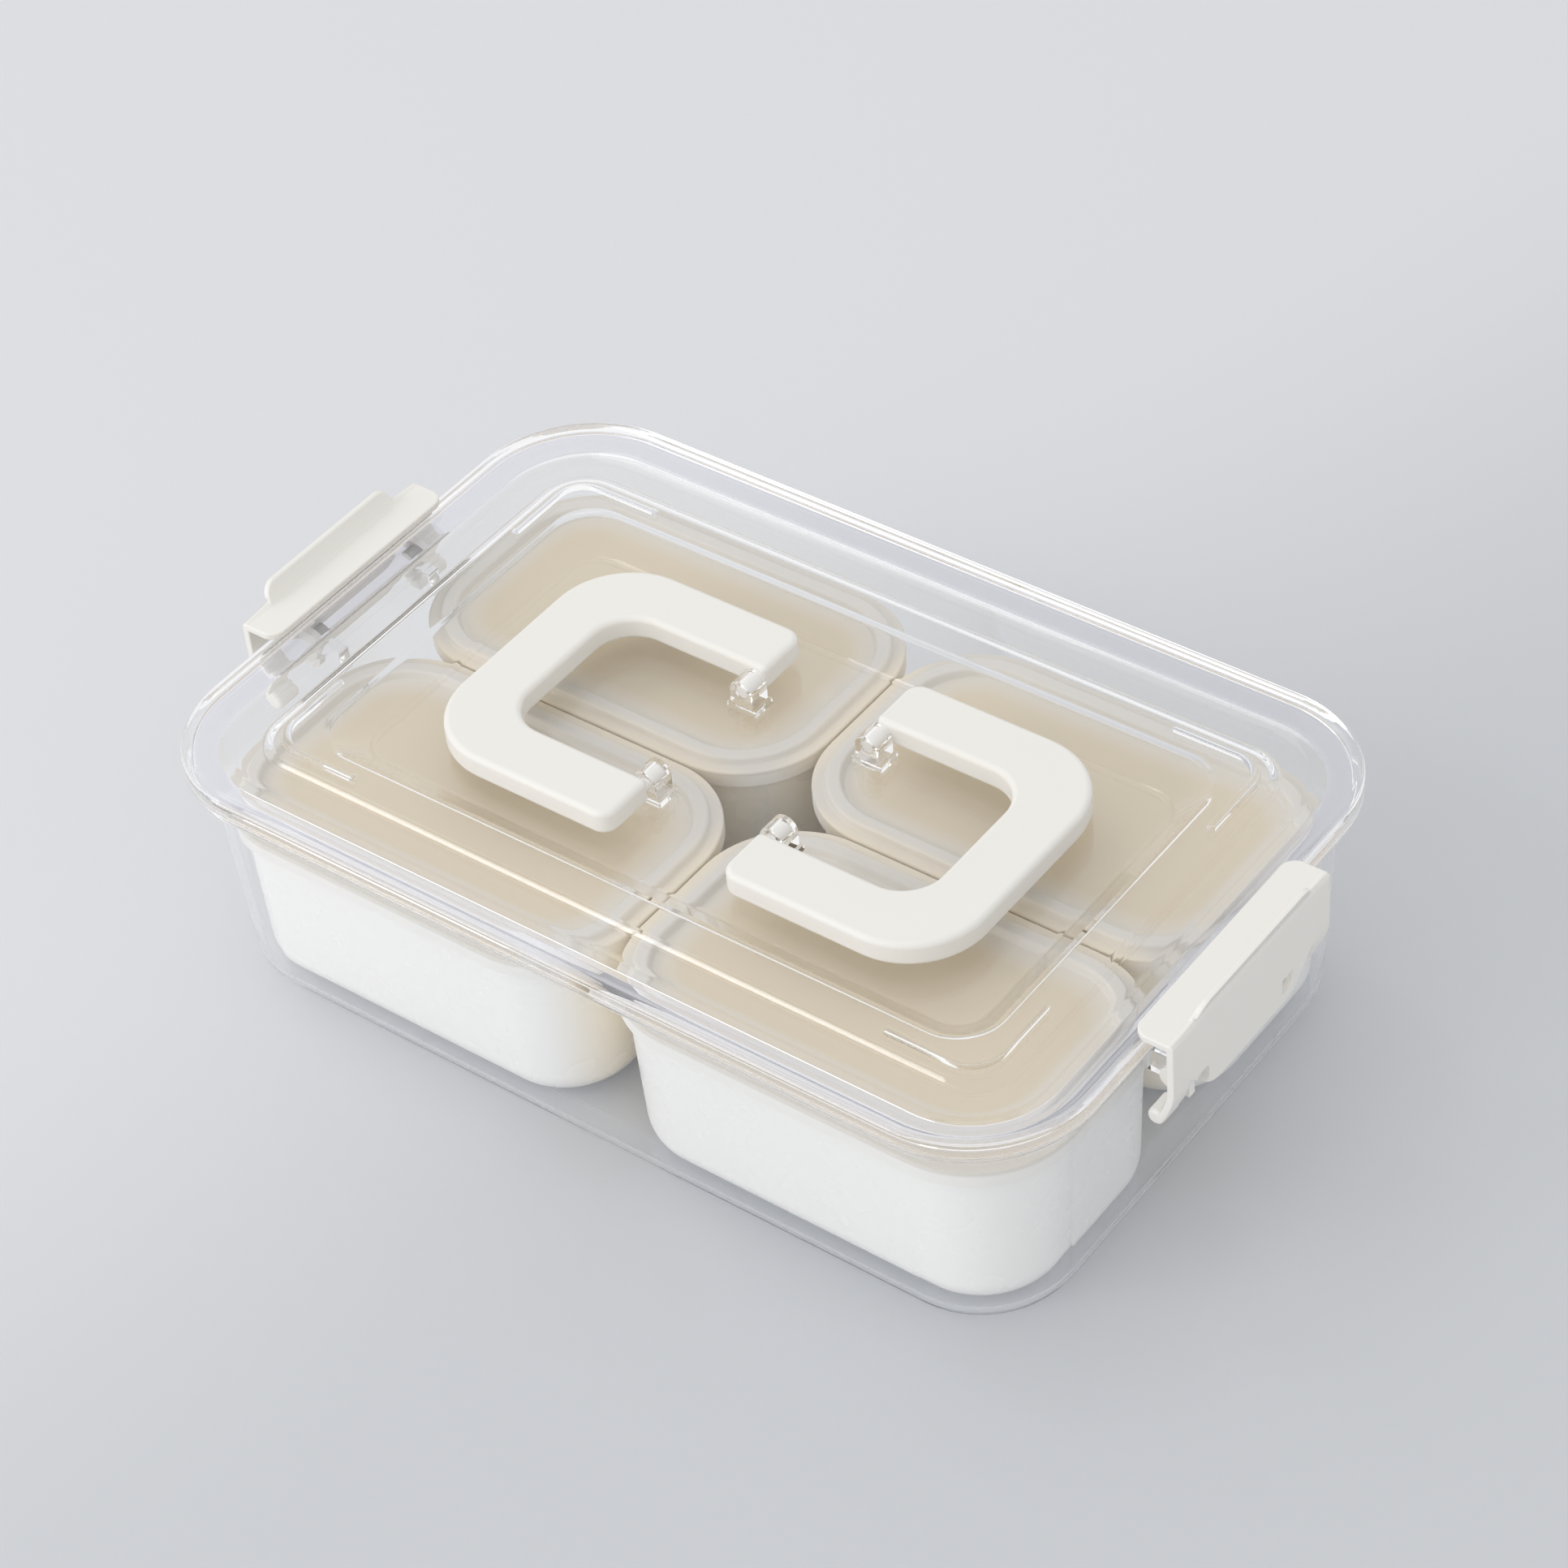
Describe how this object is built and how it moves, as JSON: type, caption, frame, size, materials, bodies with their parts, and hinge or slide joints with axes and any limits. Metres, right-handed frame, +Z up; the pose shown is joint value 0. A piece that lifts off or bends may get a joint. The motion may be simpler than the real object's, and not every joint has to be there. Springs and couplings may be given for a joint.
{
  "type": "lunch box",
  "caption": "Clear rectangular lunch box: a tub with covered bowls inside, a clear sealed lid with folding U handles in its sunk middle, and hinged end latches.",
  "frame": {"origin": "the middle of the tub's underside, where the box stands", "axes": "X runs along the box towards one latch, Y across it towards the back, Z up"},
  "size_m": [0.2804, 0.1714, 0.0782],
  "materials": {
    "clear_tub": "clear gloss",
    "clear_lid": "clear gloss",
    "seal": "translucent soft",
    "white_plastic": "satin",
    "bowl_plastic": "gloss",
    "cover_plastic": "satin"
  },
  "bodies": {
    "tub": {"tub": "clear_tub"},
    "lid": {"lid": "clear_lid", "lid_seal": "seal"},
    "handle_left": {"handle_left": "white_plastic"},
    "handle_right": {"handle_right": "white_plastic"},
    "latch_left": {"latch_left": "white_plastic"},
    "latch_right": {"latch_right": "white_plastic"},
    "bowl_front_left": {"bowl_front_left": "bowl_plastic"},
    "bowl_front_right": {"bowl_front_right": "bowl_plastic"},
    "bowl_back_left": {"bowl_back_left": "bowl_plastic"},
    "bowl_back_right": {"bowl_back_right": "bowl_plastic"},
    "cover_front_left": {"cover_front_left": "cover_plastic"},
    "cover_front_right": {"cover_front_right": "cover_plastic"},
    "cover_back_left": {"cover_back_left": "cover_plastic"},
    "cover_back_right": {"cover_back_right": "cover_plastic"}
  },
  "joints": [
    {"name": "lid_lift", "type": "slide", "parent": "tub", "child": "lid", "axis": [0, 0, 1], "range_m": [0, 0.16]},
    {"name": "handle_right_turn", "type": "hinge", "parent": "lid", "child": "handle_right", "pos_m": [0.019, 0, 0.06795], "axis": [0, -1, 0], "range_deg": [0, 104]},
    {"name": "handle_left_turn", "type": "hinge", "parent": "lid", "child": "handle_left", "pos_m": [-0.019, 0, 0.06795], "axis": [0, 1, 0], "range_deg": [0, 104]},
    {"name": "latch_right_turn", "type": "hinge", "parent": "tub", "child": "latch_right", "pos_m": [0.133, 0, 0.0535], "axis": [0, 1, 0], "range_deg": [0, 90]},
    {"name": "latch_left_turn", "type": "hinge", "parent": "tub", "child": "latch_left", "pos_m": [-0.133, 0, 0.0535], "axis": [0, -1, 0], "range_deg": [0, 90]},
    {"name": "bowl_front_left_lift", "type": "slide", "parent": "tub", "child": "bowl_front_left", "axis": [0, 0, 1], "range_m": [0, 0.072]},
    {"name": "cover_front_left_lift", "type": "slide", "parent": "bowl_front_left", "child": "cover_front_left", "axis": [0, 0, 1], "range_m": [0, 0.048]},
    {"name": "bowl_front_right_lift", "type": "slide", "parent": "tub", "child": "bowl_front_right", "axis": [0, 0, 1], "range_m": [0, 0.072]},
    {"name": "cover_front_right_lift", "type": "slide", "parent": "bowl_front_right", "child": "cover_front_right", "axis": [0, 0, 1], "range_m": [0, 0.048]},
    {"name": "bowl_back_left_lift", "type": "slide", "parent": "tub", "child": "bowl_back_left", "axis": [0, 0, 1], "range_m": [0, 0.072]},
    {"name": "cover_back_left_lift", "type": "slide", "parent": "bowl_back_left", "child": "cover_back_left", "axis": [0, 0, 1], "range_m": [0, 0.048]},
    {"name": "bowl_back_right_lift", "type": "slide", "parent": "tub", "child": "bowl_back_right", "axis": [0, 0, 1], "range_m": [0, 0.072]},
    {"name": "cover_back_right_lift", "type": "slide", "parent": "bowl_back_right", "child": "cover_back_right", "axis": [0, 0, 1], "range_m": [0, 0.048]}
  ],
  "couplings": [
    {"joint": "bowl_front_left_lift", "follows": "lid_lift", "ratio": 0.45},
    {"joint": "cover_front_left_lift", "follows": "lid_lift", "ratio": 0.3},
    {"joint": "bowl_front_right_lift", "follows": "lid_lift", "ratio": 0.45},
    {"joint": "cover_front_right_lift", "follows": "lid_lift", "ratio": 0.3},
    {"joint": "bowl_back_left_lift", "follows": "lid_lift", "ratio": 0.45},
    {"joint": "cover_back_left_lift", "follows": "lid_lift", "ratio": 0.3},
    {"joint": "bowl_back_right_lift", "follows": "lid_lift", "ratio": 0.45},
    {"joint": "cover_back_right_lift", "follows": "lid_lift", "ratio": 0.3}
  ]
}
